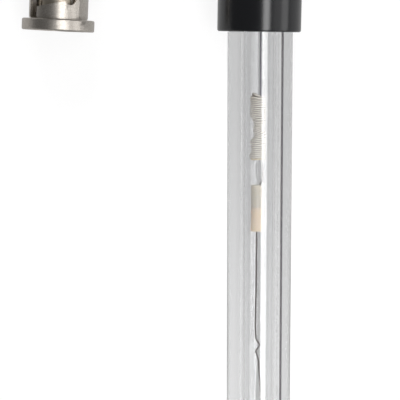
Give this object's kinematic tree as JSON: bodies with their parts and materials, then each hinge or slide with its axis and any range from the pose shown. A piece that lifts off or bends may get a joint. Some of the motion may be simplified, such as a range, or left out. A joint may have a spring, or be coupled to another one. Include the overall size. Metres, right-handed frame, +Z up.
{
  "type": "ph electrode",
  "caption": "Combination pH electrode: glass tube with a measuring stem and bulb, moulded cap, coiled coaxial cable and a bayonet plug with a turning, sprung collar.",
  "frame": {"origin": "on the surface it lies on, below the middle of the electrode's own box, without its cable and plug", "axes": "+Y along the electrode from its bulb to its cap, +X to the right as seen from above with the cap at the top, +Z up"},
  "size_m": [0.0519, 0.2409, 0.0158],
  "materials": {
    "black_moulded": "moulded, satin",
    "black_rubber": "soft, matte",
    "body_glass": "clear, polished",
    "membrane_glass": "clear, blown",
    "clear_gel": "clear gel",
    "clear_buffer": "clear liquid",
    "white_ceramic": "porous",
    "soft_stopper": "soft, matte",
    "resin": "cast resin",
    "dark_wire": "drawn wire, dulled",
    "coated_silver": "silver with a matte beige coat",
    "grey_bead": "matte",
    "tan_bead": "matte",
    "cable_jacket": "extruded, satin",
    "tie_black": "woven, matte",
    "nickel": "nickel plate, satin, turned",
    "spring_steel": "rolled",
    "contact_metal": "plated",
    "white_insulator": "smooth",
    "gasket_rubber": "soft"
  },
  "bodies": {
    "electrode": {"electrode_cap": "black_moulded", "cap_potting": "resin", "cable_boot": "black_rubber", "body_tube": "body_glass", "ceramic_junction": "white_ceramic", "tube_stopper": "soft_stopper", "reference_gel": "clear_gel", "reference_wire": "dark_wire", "inner_stem": "body_glass", "sensing_bulb": "membrane_glass", "stem_stopper": "soft_stopper", "stem_buffer": "clear_buffer", "stem_lead": "dark_wire", "silver_coil": "coated_silver", "wire_seal": "grey_bead", "wire_plug": "tan_bead", "measuring_wire": "dark_wire", "cord_entry": "cable_jacket", "cord_run": "cable_jacket", "cord_coil": "cable_jacket", "cord_tie": "tie_black", "cord_tail": "cable_jacket", "plug_boot": "black_rubber", "crimp_ferrule": "nickel", "plug_body": "nickel", "outer_contact": "contact_metal", "plug_insulator": "white_insulator", "contact_pin": "contact_metal", "plug_gasket": "gasket_rubber", "spring_washer": "spring_steel", "retaining_ring": "spring_steel"},
    "thrust_washer": {"thrust_washer": "spring_steel"},
    "coupling_collar": {"coupling_collar": "nickel"}
  },
  "joints": [
    {"name": "collar_slide", "type": "slide", "parent": "electrode", "child": "thrust_washer", "axis": [-0.0488, -0.9988, 0], "range_m": [0, 0.0007], "stiffness_N_per_m": 5000, "springref_m": -0.0002, "deforming": ["spring_washer"]},
    {"name": "collar_turn", "type": "hinge", "parent": "thrust_washer", "child": "coupling_collar", "pos_m": [-0.03663, 0.04435, 0.00717], "axis": [0.0488, 0.9988, 0], "continuous": true}
  ]
}
